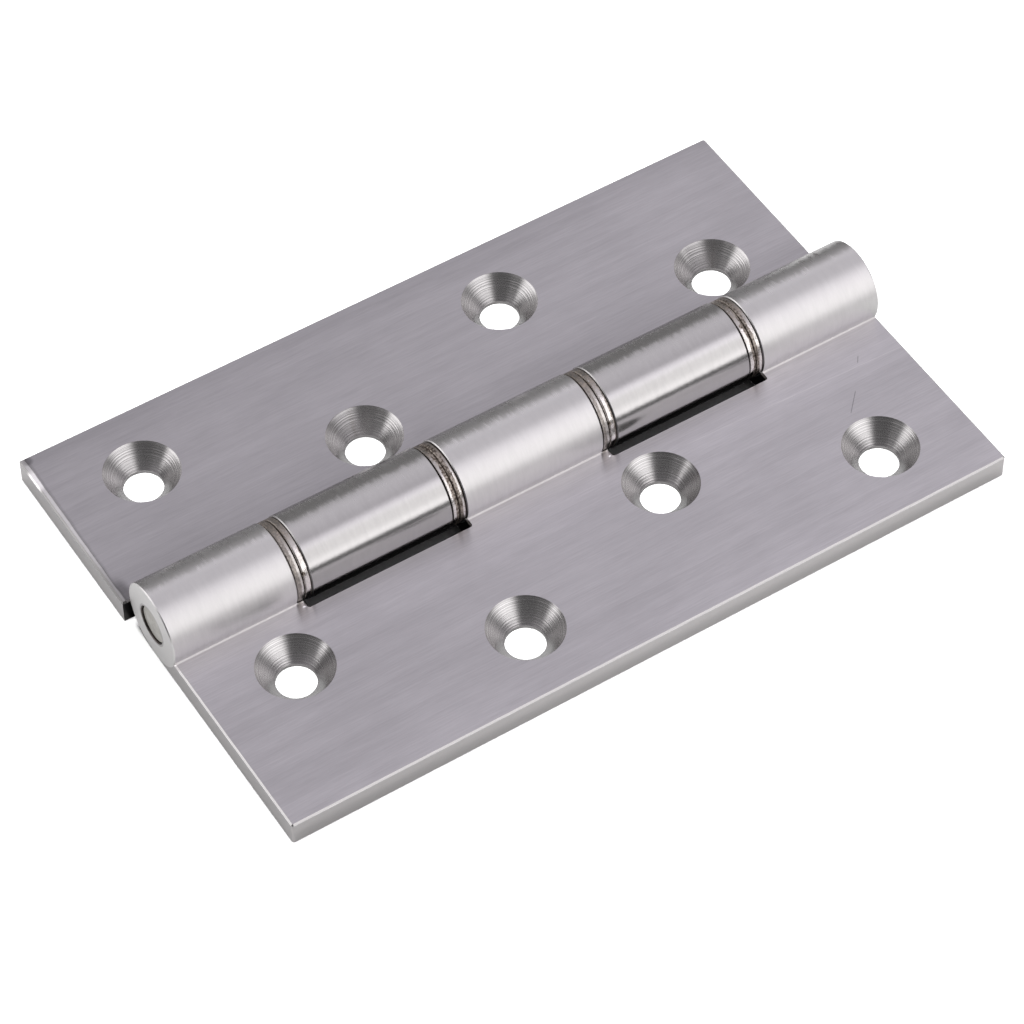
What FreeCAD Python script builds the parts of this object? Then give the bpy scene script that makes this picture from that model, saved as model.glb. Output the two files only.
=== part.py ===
import FreeCAD, Part
import math
import os
import Sketcher

# Butt hinge with two washers at each joint of its barrel, lying open and flat.
# +X runs along the pin, +Y points from the pin to the back leaf, +Z is the side of the knuckles
# and of the countersinks. The origin lies on the mounting plane under the middle of the barrel.

os.makedirs("parts", exist_ok=True)
doc = FreeCAD.newDocument("butt_hinge")

# Driving dimensions in millimetres and degrees.
SIZES = {
    # Leaf section: a flat plate with a round knuckle that touches the mounting plane.
    "leaf_length": 102.0,
    "leaf_width": 32.5,
    "leaf_thickness": 3.4,
    "knuckle_radius": 5.5,
    # Each leaf was cut this far off the middle of the barrel, in opposite directions.
    "leaf_offset": 0.35,
    # Barrel: three middle knuckles of one length, the outer two take what is left.
    "middle_knuckle_length": 19.75,
    "washer_thickness": 0.95,
    "washer_play": 0.05,
    "washer_inset": 0.12,
    "washer_edge_bevel": 0.1,
    "washer_bore_clearance": 0.1,
    # Pin: held in the outer knuckles, free in the two knuckles of the back leaf.
    "pin_radius": 2.5,
    "pin_running_clearance": 0.05,
    "pin_held_clearance": 0.01,
    "pin_recess": 0.25,
    "pin_end_bevel": 0.15,
    "bore_mouth_bevel": 0.1,
    # Slots that leave room for the other leaf's knuckles.
    "slot_clearance": 0.65,
    "slot_corner_radius": 0.15,
    # Round seats in the front leaf, where its plate reaches close to the first washer of a slot.
    "washer_seat_wall": 4.0,
    # Fine bevels along the edges.
    "top_edge_bevel": 0.22,
    "knuckle_edge_bevel": 0.12,
    "knuckle_bevel_stop": 8.0,
    "corner_radius": 0.3,
    # Screw holes, in two rows along the leaf.
    "hole_pitch": 26.0,
    "inner_row": 13.0,
    "outer_row": 22.85,
    "screw_hole_diameter": 5.1,
    "countersink_diameter": 9.8,
    "countersink_angle": 77.0,
}

JOINT_COUNT = 4
HOLES_PER_LEAF = 4

sizes = doc.addObject("Spreadsheet::Sheet", "sizes")
for row, (name, value) in enumerate(SIZES.items(), start=1):
    sizes.set(f"A{row}", name)
    sizes.set(f"B{row}", str(value))
    sizes.setAlias(f"B{row}", name)
doc.recompute()

# Formulas that several features share.
JOINT_GAP = "(2 * sizes.washer_thickness + 3 * sizes.washer_play)"
BARREL_STEP = f"(sizes.middle_knuckle_length + {JOINT_GAP})"
OUTER_KNUCKLE_START = f"(1.5 * sizes.middle_knuckle_length + 2 * {JOINT_GAP})"
INNER_JOINT_END = f"(0.5 * sizes.middle_knuckle_length + {JOINT_GAP})"
MIDDLE_KNUCKLE_END = "(0.5 * sizes.middle_knuckle_length)"
SIDE_KNUCKLE_END = f"(1.5 * sizes.middle_knuckle_length + {JOINT_GAP})"
SLOT_WALL = "(sizes.knuckle_radius + sizes.slot_clearance)"
WASHER_SEAT = "(sizes.washer_thickness + 1.5 * sizes.washer_play)"
HALF_LEAF = "(0.5 * sizes.leaf_length)"
LONG_END = f"({HALF_LEAF} + sizes.leaf_offset)"
SHORT_END = f"({HALF_LEAF} - sizes.leaf_offset)"
# How far cutters run past the metal, and how near an edge must lie to a plane to count as on it.
SLOT_OVERRUN = 5.0
BEVEL_OVERRUN = 0.1
NEAR = 1e-6
SMALLEST_CUT = 1e-3


def size(name):
    return float(sizes.get(name))


def origin_plane(body, role):
    for feature in body.Origin.OriginFeatures:
        if feature.Role == role:
            return feature
    raise ValueError(role)


def new_sketch(body, name, role):
    sketch = body.newObject("Sketcher::SketchObject", name)
    sketch.AttachmentSupport = [(origin_plane(body, role), "")]
    sketch.MapMode = "FlatFace"
    return sketch


def bind(sketch, constraint, name, formula):
    index = sketch.addConstraint(constraint)
    sketch.renameConstraint(index, name)
    sketch.setExpression(f"Constraints.{name}", formula)


def point(x, y):
    return FreeCAD.Vector(x, y, 0)


def add_circle(sketch, name, radius, up, across=None):
    """Circle whose radius and centre follow formulas; with no across it is centred over the origin."""
    centre = (evaluate(across) if across else 0, evaluate(up))
    circle = sketch.addGeometry(Part.Circle(point(*centre), FreeCAD.Vector(0, 0, 1), evaluate(radius)))
    bind(sketch, Sketcher.Constraint("Radius", circle, evaluate(radius)), f"{name}_radius", radius)
    if across:
        bind(sketch, Sketcher.Constraint("DistanceX", -1, 1, circle, 3, centre[0]), f"{name}_across", across)
    else:
        sketch.addConstraint(Sketcher.Constraint("PointOnObject", circle, 3, -2))
    bind(sketch, Sketcher.Constraint("DistanceY", -1, 1, circle, 3, centre[1]), f"{name}_up", up)


def add_rectangle(sketch, left, right, low, high, formulas):
    """Rectangle from (left, low) to (right, high), each side's distance from the origin bound."""
    corners = [point(left, low), point(right, low), point(right, high), point(left, high)]
    sides = []
    for first, second in zip(corners, corners[1:] + corners[:1]):
        sides.append(sketch.addGeometry(Part.LineSegment(first, second)))
    bottom, right_side, top, left_side = sides
    for first, second in zip(sides, sides[1:] + sides[:1]):
        sketch.addConstraint(Sketcher.Constraint("Coincident", first, 2, second, 1))
    for side in (bottom, top):
        sketch.addConstraint(Sketcher.Constraint("Horizontal", side))
    for side in (right_side, left_side):
        sketch.addConstraint(Sketcher.Constraint("Vertical", side))
    bind(sketch, Sketcher.Constraint("DistanceX", -1, 1, bottom, 1, left), "left", formulas["left"])
    bind(sketch, Sketcher.Constraint("DistanceX", -1, 1, bottom, 2, right), "right", formulas["right"])
    bind(sketch, Sketcher.Constraint("DistanceY", -1, 1, bottom, 1, low), "low", formulas["low"])
    bind(sketch, Sketcher.Constraint("DistanceY", -1, 1, top, 1, high), "high", formulas["high"])


def volume_of(body):
    doc.recompute()
    return body.Shape.Volume


def must_shrink(body, before, what):
    after = volume_of(body)
    if not after < before - SMALLEST_CUT:
        raise RuntimeError(f"{body.Label}: {what} removed nothing")
    return after


def evaluate(formula):
    return float(sizes.evalExpression(formula.replace("sizes.", "")))


def edges_where(body, test):
    """Names of the edges that pass a test."""
    return [f"Edge{index}" for index, edge in enumerate(body.Shape.Edges, start=1) if test(edge)]


def is_upright(edge):
    first, last = edge.Vertexes[0].Point, edge.Vertexes[-1].Point
    return abs(first.x - last.x) < NEAR and abs(first.y - last.y) < NEAR


def is_ring_round_pin(edge):
    if not edge.isClosed() or edge.Curve.TypeId != "Part::GeomCircle":
        return False
    return abs(abs(edge.Curve.Axis.x) - 1) < NEAR


def add_section(body):
    """Drawn section of the leaf: plate along the mounting plane, round knuckle tangent to it."""
    radius = size("knuckle_radius")
    width = size("leaf_width")
    thickness = size("leaf_thickness")
    crease = math.sqrt(radius ** 2 - (radius - thickness) ** 2)
    sketch = new_sketch(body, body.Name + "_section", "YZ_Plane")
    bottom = sketch.addGeometry(Part.LineSegment(point(0, 0), point(width, 0)))
    edge = sketch.addGeometry(Part.LineSegment(point(width, 0), point(width, thickness)))
    top = sketch.addGeometry(Part.LineSegment(point(width, thickness), point(crease, thickness)))
    start_angle = math.atan2(thickness - radius, crease)
    circle = Part.Circle(point(0, radius), FreeCAD.Vector(0, 0, 1), radius)
    arc = sketch.addGeometry(Part.ArcOfCircle(circle, start_angle, 1.5 * math.pi))
    sketch.addConstraint(Sketcher.Constraint("Coincident", bottom, 1, -1, 1))
    sketch.addConstraint(Sketcher.Constraint("Coincident", bottom, 2, edge, 1))
    sketch.addConstraint(Sketcher.Constraint("Coincident", edge, 2, top, 1))
    sketch.addConstraint(Sketcher.Constraint("Coincident", top, 2, arc, 1))
    sketch.addConstraint(Sketcher.Constraint("Coincident", arc, 2, bottom, 1))
    sketch.addConstraint(Sketcher.Constraint("Horizontal", bottom))
    sketch.addConstraint(Sketcher.Constraint("Vertical", edge))
    sketch.addConstraint(Sketcher.Constraint("Horizontal", top))
    sketch.addConstraint(Sketcher.Constraint("PointOnObject", arc, 3, -2))
    bind(sketch, Sketcher.Constraint("DistanceX", -1, 1, bottom, 2, width), "width", "sizes.leaf_width")
    bind(sketch, Sketcher.Constraint("DistanceY", -1, 1, top, 1, thickness), "thickness",
         "sizes.leaf_thickness")
    bind(sketch, Sketcher.Constraint("Radius", arc, radius), "knuckle", "sizes.knuckle_radius")
    section = body.newObject("PartDesign::Pad", body.Name + "_plate")
    section.Profile = sketch
    section.SideType = "Two sides"
    section.setExpression("Length", SHORT_END)
    section.setExpression("Length2", LONG_END)
    doc.recompute()


def add_slot(body, name, formulas, mirrored):
    """Slot through plate and barrel, as wide as a knuckle of the other leaf and its washers."""
    sketch = new_sketch(body, name + "_outline", "XY_Plane")
    values = {side: evaluate(formula) for side, formula in formulas.items()}
    add_rectangle(sketch, values["left"], values["right"], values["low"], values["high"], formulas)
    before = volume_of(body)
    slot = body.newObject("PartDesign::Pocket", name)
    slot.Profile = sketch
    slot.Type = "ThroughAll"
    slot.SideType = "Symmetric"
    after = must_shrink(body, before, name)
    if mirrored:
        mirror = body.newObject("PartDesign::Mirrored", name + "_mirrored")
        mirror.Originals = [slot]
        mirror.MirrorPlane = (origin_plane(body, "YZ_Plane"), [""])
        body.Tip = mirror
        must_shrink(body, after, mirror.Name)


def add_washer_seat(body, name, knuckle_end):
    """Room for one washer beside a knuckle: round like the knuckle, and open below the washer."""
    sketch = new_sketch(body, name + "_outline", "YZ_Plane")
    sketch.setExpression("AttachmentOffset.Base.z", knuckle_end)
    add_circle(sketch, "seat", "sizes.knuckle_radius", "sizes.knuckle_radius")
    before = volume_of(body)
    seat = body.newObject("PartDesign::Pocket", name)
    seat.Profile = sketch
    seat.setExpression("Length", WASHER_SEAT)
    must_shrink(body, before, name)
    formulas = {"left": f"({knuckle_end} - {WASHER_SEAT})", "right": knuckle_end,
                "low": f"-{SLOT_WALL}", "high": "sizes.washer_seat_wall"}
    add_slot(body, name + "_floor", formulas, False)


def round_slot_corners(body):
    """The cutter leaves a small radius in the inner corners of each slot."""
    wall = evaluate(SLOT_WALL)
    left_end = -evaluate(LONG_END)
    right_end = evaluate(SHORT_END)

    def in_slot_corner(edge):
        corner = edge.Vertexes[0].Point
        inside = left_end + NEAR < corner.x < right_end - NEAR
        return is_upright(edge) and inside and abs(corner.y - wall) < NEAR

    bevel(body, body.Name + "_slot_corners", edges_where(body, in_slot_corner),
          "sizes.slot_corner_radius", "PartDesign::Fillet", "Radius")


def add_bore(body, radius_formula):
    sketch = new_sketch(body, body.Name + "_bore_outline", "YZ_Plane")
    add_circle(sketch, "bore", radius_formula, "sizes.knuckle_radius")
    before = volume_of(body)
    bore = body.newObject("PartDesign::Pocket", body.Name + "_bore")
    bore.Profile = sketch
    bore.Type = "ThroughAll"
    bore.SideType = "Symmetric"
    must_shrink(body, before, bore.Name)


def add_screw_holes(body):
    """Countersunk screw holes, a step apart along the leaf and in the outer and inner row by turns."""
    sketch = new_sketch(body, body.Name + "_hole_centres", "XY_Plane")
    sketch.setExpression("AttachmentOffset.Base.z", "sizes.leaf_thickness")
    for index in range(HOLES_PER_LEAF):
        row = "outer_row" if index % 2 == 0 else "inner_row"
        across = f"{index - 0.5 * (HOLES_PER_LEAF - 1)} * sizes.hole_pitch - sizes.leaf_offset"
        add_circle(sketch, f"hole_{index + 1}", "0.5 * sizes.screw_hole_diameter", f"sizes.{row}", across)
    before = volume_of(body)
    hole = body.newObject("PartDesign::Hole", body.Name + "_screw_holes")
    hole.Profile = sketch
    doc.recompute()
    hole.ThreadType = "None"
    hole.DepthType = "ThroughAll"
    hole.HoleCutType = "Countersink"
    hole.HoleCutCustomValues = True
    hole.setExpression("Diameter", "sizes.screw_hole_diameter")
    hole.setExpression("HoleCutDiameter", "sizes.countersink_diameter")
    hole.setExpression("HoleCutCountersinkAngle", "sizes.countersink_angle")
    must_shrink(body, before, hole.Name)


def bevel(body, name, edges, formula, kind="PartDesign::Chamfer", value="Size"):
    base = body.Tip
    feature = body.newObject(kind, name)
    feature.Base = (base, edges)
    feature.setExpression(value, formula)
    body.Tip = feature
    doc.recompute()


def outer_corner_edges(body):
    """Upright edges at the two free corners of the plate."""
    width = size("leaf_width")
    return edges_where(body, lambda edge: is_upright(edge) and abs(edge.Vertexes[0].Y - width) < NEAR)


def top_rim_edges(body):
    """Edges round the plate's top face, apart from its crease and its countersinks."""
    thickness = size("leaf_thickness")
    wall = evaluate(SLOT_WALL)

    def on_top_rim(edge):
        box = edge.BoundBox
        on_top = abs(box.ZMin - thickness) < NEAR and abs(box.ZMax - thickness) < NEAR
        crease = box.YMax < wall - NEAR and box.XLength > NEAR
        return on_top and not crease and not edge.isClosed()

    return edges_where(body, on_top_rim)


def add_knuckle_bevels(body, ends):
    """Turned bevel on the round edge at both ends of each knuckle, from the crease over the top."""
    name = body.Name + "_knuckle_bevels"
    sketch = new_sketch(body, name + "_outline", "XZ_Plane")
    height = size("knuckle_radius")
    axis = sketch.addGeometry(Part.LineSegment(point(0, height), point(1, height)), True)
    sketch.addConstraint(Sketcher.Constraint("Horizontal", axis))
    sketch.addConstraint(Sketcher.Constraint("PointOnObject", axis, 1, -2))
    sketch.addConstraint(Sketcher.Constraint("DistanceX", axis, 1, axis, 2, 1.0))
    bind(sketch, Sketcher.Constraint("DistanceY", -1, 1, axis, 1, height), "axis", "sizes.knuckle_radius")
    leg_formula = f"sizes.knuckle_edge_bevel + 2 * {BEVEL_OVERRUN}"
    rise_formula = f"2 * sizes.knuckle_radius + {BEVEL_OVERRUN}"
    leg = evaluate(leg_formula)
    rise = evaluate(rise_formula)
    for number, (formula, sign) in enumerate(ends, start=1):
        across_formula = f"{formula} {sign} {BEVEL_OVERRUN}"
        across = evaluate(across_formula)
        inward = -leg if sign == "+" else leg
        corner, down, along = point(across, rise), point(across, rise - leg), point(across + inward, rise)
        upright = sketch.addGeometry(Part.LineSegment(corner, down))
        slope = sketch.addGeometry(Part.LineSegment(down, along))
        level = sketch.addGeometry(Part.LineSegment(along, corner))
        for first, second in ((upright, slope), (slope, level), (level, upright)):
            sketch.addConstraint(Sketcher.Constraint("Coincident", first, 2, second, 1))
        sketch.addConstraint(Sketcher.Constraint("Vertical", upright))
        sketch.addConstraint(Sketcher.Constraint("Horizontal", level))
        sketch.addConstraint(Sketcher.Constraint("Equal", upright, level))
        bind(sketch, Sketcher.Constraint("DistanceX", -1, 1, upright, 1, across), f"across_{number}",
             across_formula)
        bind(sketch, Sketcher.Constraint("DistanceY", -1, 1, upright, 1, rise), f"rise_{number}",
             rise_formula)
        bind(sketch, Sketcher.Constraint("DistanceY", upright, 2, upright, 1, leg), f"leg_{number}",
             leg_formula)
    before = volume_of(body)
    groove = body.newObject("PartDesign::Groove", name)
    groove.Profile = sketch
    groove.ReferenceAxis = (sketch, ["Axis0"])
    groove.Type = "TwoAngles"
    groove.setExpression("Angle", "180 - sizes.knuckle_bevel_stop")
    groove.setExpression("Angle2", "90 deg + asin((sizes.knuckle_radius - sizes.leaf_thickness)"
                                   " / sizes.knuckle_radius)")
    must_shrink(body, before, name)


def bore_mouth_edges(body):
    """Mouths of the pin hole at the two ends of the barrel."""
    last_knuckle = evaluate(OUTER_KNUCKLE_START)
    return edges_where(body, lambda edge: is_ring_round_pin(edge)
                       and abs(edge.Curve.Center.x) > last_knuckle + NEAR)


def finish_edges(body, knuckle_ends):
    bevel(body, body.Name + "_corners", outer_corner_edges(body), "sizes.corner_radius",
          "PartDesign::Fillet", "Radius")
    bevel(body, body.Name + "_top_edges", top_rim_edges(body), "sizes.top_edge_bevel")
    add_knuckle_bevels(body, knuckle_ends)


def slot_formulas(left, right):
    return {"left": left, "right": right, "low": f"-{SLOT_WALL}", "high": SLOT_WALL}


def build_back_leaf():
    """Leaf with the second and fourth knuckle: one slot in the middle, one open at each end."""
    body = doc.addObject("PartDesign::Body", "back_leaf")
    body.Label = "back_leaf"
    add_section(body)
    add_slot(body, "middle_slot", slot_formulas(f"-{INNER_JOINT_END}", INNER_JOINT_END), False)
    past_end = f"({LONG_END} + {SLOT_OVERRUN})"
    add_slot(body, "end_slot", slot_formulas(SIDE_KNUCKLE_END, past_end), True)
    add_bore(body, "sizes.pin_radius + sizes.pin_running_clearance")
    round_slot_corners(body)
    add_screw_holes(body)
    finish_edges(body, [(f"-{SIDE_KNUCKLE_END}", "-"), (f"-{INNER_JOINT_END}", "+"),
                        (INNER_JOINT_END, "-"), (SIDE_KNUCKLE_END, "+")])
    return body


def build_front_leaf():
    """The same section turned half a turn about +Z, with the first, third and fifth knuckle.

    Before that turn each slot ends a washer short of the knuckle on its +X side.
    """
    body = doc.addObject("PartDesign::Body", "front_leaf")
    body.Label = "front_leaf"
    add_section(body)
    for number, (left, right) in enumerate(((MIDDLE_KNUCKLE_END, OUTER_KNUCKLE_START),
                                            (f"-{OUTER_KNUCKLE_START}", f"-{MIDDLE_KNUCKLE_END}")), start=1):
        add_slot(body, f"slot_{number}", slot_formulas(left, f"({right} - {WASHER_SEAT})"), False)
        add_washer_seat(body, f"washer_seat_{number}", right)
    add_bore(body, "sizes.pin_radius + sizes.pin_held_clearance")
    round_slot_corners(body)
    add_screw_holes(body)
    finish_edges(body, [(f"-{LONG_END}", "-"), (f"-{OUTER_KNUCKLE_START}", "+"),
                        (f"-{MIDDLE_KNUCKLE_END}", "-"), (MIDDLE_KNUCKLE_END, "+"),
                        (OUTER_KNUCKLE_START, "-"), (SHORT_END, "+")])
    bevel(body, body.Name + "_bore_mouths", bore_mouth_edges(body), "sizes.bore_mouth_bevel")
    body.Placement.Rotation = FreeCAD.Rotation(FreeCAD.Vector(0, 0, 1), 180)
    return body


def build_pin():
    """Plain round pin, a little shorter than the barrel and bevelled at both ends."""
    body = doc.addObject("PartDesign::Body", "hinge_pin")
    body.Label = "hinge_pin"
    sketch = new_sketch(body, "pin_outline", "YZ_Plane")
    add_circle(sketch, "pin", "sizes.pin_radius", "sizes.knuckle_radius")
    pin = body.newObject("PartDesign::Pad", "pin_length")
    pin.Profile = sketch
    pin.SideType = "Two sides"
    pin.setExpression("Length", f"{LONG_END} - sizes.pin_recess")
    pin.setExpression("Length2", f"{SHORT_END} - sizes.pin_recess")
    doc.recompute()
    bevel(body, "pin_end_edges", edges_where(body, is_ring_round_pin), "sizes.pin_end_bevel")
    return body


def build_washer(name, centre_formula):
    """Flat ring round the pin, slightly smaller than the knuckles, its outer edges broken."""
    body = doc.addObject("PartDesign::Body", name)
    body.Label = name
    outer_formula = "sizes.knuckle_radius - sizes.washer_inset"
    bore_formula = "sizes.pin_radius + sizes.washer_bore_clearance"
    sketch = new_sketch(body, name + "_outline", "YZ_Plane")
    add_circle(sketch, "rim", outer_formula, "sizes.knuckle_radius")
    add_circle(sketch, "bore", bore_formula, "sizes.knuckle_radius")
    ring = body.newObject("PartDesign::Pad", name + "_ring")
    ring.Profile = sketch
    ring.SideType = "Symmetric"
    ring.setExpression("Length", "sizes.washer_thickness")
    doc.recompute()
    outer = evaluate(outer_formula)
    rims = edges_where(body, lambda edge: is_ring_round_pin(edge) and edge.Curve.Radius > outer - NEAR)
    bevel(body, name + "_edges", rims, "sizes.washer_edge_bevel")
    body.setExpression("Placement.Base.x", centre_formula)
    return body


def build_washers():
    """Two washers side by side at each joint, with the same play on both sides and between them."""
    washers = []
    half_step = "0.5 * (sizes.washer_thickness + sizes.washer_play)"
    for joint in range(JOINT_COUNT):
        joint_centre = f"{joint - 0.5 * (JOINT_COUNT - 1)} * {BARREL_STEP}"
        for letter, sign in (("a", "-"), ("b", "+")):
            centre = f"{joint_centre} {sign} {half_step}"
            washers.append(build_washer(f"washer_{joint + 1}{letter}", centre))
    return washers


def check_and_export(pieces):
    doc.recompute()
    for item in doc.Objects:
        if "Invalid" in item.State or "Error" in item.State:
            raise RuntimeError(f"{item.Name} failed: {item.State}")
    for piece in pieces:
        shape = piece.Shape
        if shape.isNull() or not shape.isValid() or len(shape.Solids) != 1:
            raise RuntimeError(f"{piece.Label} isn't one valid solid")
    for piece in pieces:
        piece.Shape.exportStep(f"parts/{piece.Label}.step")
        box = piece.Shape.BoundBox
        print(piece.Label, f"volume {piece.Shape.Volume:.1f} mm3,", f"x {box.XMin:.2f} to {box.XMax:.2f},",
              f"y {box.YMin:.2f} to {box.YMax:.2f}, z {box.ZMin:.2f} to {box.ZMax:.2f}")


check_and_export([build_front_leaf(), build_back_leaf(), build_pin()] + build_washers())
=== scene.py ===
import math

import bpy
from mathutils import Matrix, Vector


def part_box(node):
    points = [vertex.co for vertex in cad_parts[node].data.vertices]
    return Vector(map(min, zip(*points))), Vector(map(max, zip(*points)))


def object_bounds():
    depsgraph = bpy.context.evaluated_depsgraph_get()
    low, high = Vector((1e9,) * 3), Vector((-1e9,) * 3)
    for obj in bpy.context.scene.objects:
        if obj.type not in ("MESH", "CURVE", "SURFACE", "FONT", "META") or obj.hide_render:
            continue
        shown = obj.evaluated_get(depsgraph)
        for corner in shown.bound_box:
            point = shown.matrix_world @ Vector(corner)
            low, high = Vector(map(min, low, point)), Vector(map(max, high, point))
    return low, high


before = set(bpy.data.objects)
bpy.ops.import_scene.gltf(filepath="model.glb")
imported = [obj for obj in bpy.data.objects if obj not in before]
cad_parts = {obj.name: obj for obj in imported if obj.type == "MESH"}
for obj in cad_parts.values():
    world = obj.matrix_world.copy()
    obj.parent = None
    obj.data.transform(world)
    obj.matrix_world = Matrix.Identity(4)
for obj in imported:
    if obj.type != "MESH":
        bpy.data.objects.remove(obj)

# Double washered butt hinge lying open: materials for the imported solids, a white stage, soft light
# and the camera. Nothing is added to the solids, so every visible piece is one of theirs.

cad_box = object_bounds()
MM = 0.001

# Sizes that the surfaces are drawn to, in millimetres, read from the frame where it holds them.
# PLATE_START is where the plates begin beside the barrel, END_FACES how far out the leaves' end
# faces lie, and SINK_RADIUS a countersink's edge.
BARREL_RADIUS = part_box("front_leaf")[1].z / MM / 2
LEAF_THICKNESS = 3.4
LEAF_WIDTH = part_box("back_leaf")[1].y / MM
PLATE_START = 6.15
LEFT_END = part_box("back_leaf")[0].x / MM
BORE_RADIUS = 2.51
END_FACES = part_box("front_leaf")[0].x / -MM - 0.1
HOLES_IN_LEAF = 4
FIRST_HOLE = -39.35
HOLE_STEP = 26.0
HOLE_ROWS = (22.85, 13.0)
SINK_RADIUS = 4.9
SINK_SLOPE = math.radians(38.5)

# Camera: where it looks, from which side and how far away.
CAMERA_AZIMUTH = math.radians(-32.312)
CAMERA_ELEVATION = math.radians(51.185)
CAMERA_ROLL = math.radians(-0.251)
CAMERA_DISTANCE = 500.809 * MM
AIM_LEFT = 0.315 * MM
AIM_DOWN = 4.570 * MM
BARREL_MIDDLE = Vector((0.35 * MM, 0, 0))
LENS = 142.27
SENSOR = 36.0


def make_camera():
    """Camera at the photograph's viewing angle."""
    cos_a, sin_a = math.cos(CAMERA_AZIMUTH), math.sin(CAMERA_AZIMUTH)
    cos_e, sin_e = math.cos(CAMERA_ELEVATION), math.sin(CAMERA_ELEVATION)
    forward = Vector((-sin_a * cos_e, cos_a * cos_e, -sin_e))
    level_right = Vector((cos_a, sin_a, 0))
    level_up = level_right.cross(forward)
    right = level_right * math.cos(CAMERA_ROLL) + level_up * math.sin(CAMERA_ROLL)
    up = level_up * math.cos(CAMERA_ROLL) - level_right * math.sin(CAMERA_ROLL)
    aim = BARREL_MIDDLE - right * AIM_LEFT - up * AIM_DOWN
    data = bpy.data.cameras.new("camera")
    data.lens = LENS
    data.sensor_width = SENSOR
    data.clip_start = 0.01
    camera = bpy.data.objects.new("camera", data)
    rotation = Matrix((right, up, -forward)).transposed().to_4x4()
    camera.matrix_world = Matrix.Translation(aim - forward * CAMERA_DISTANCE) @ rotation
    bpy.context.scene.collection.objects.link(camera)
    bpy.context.scene.camera = camera


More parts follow.
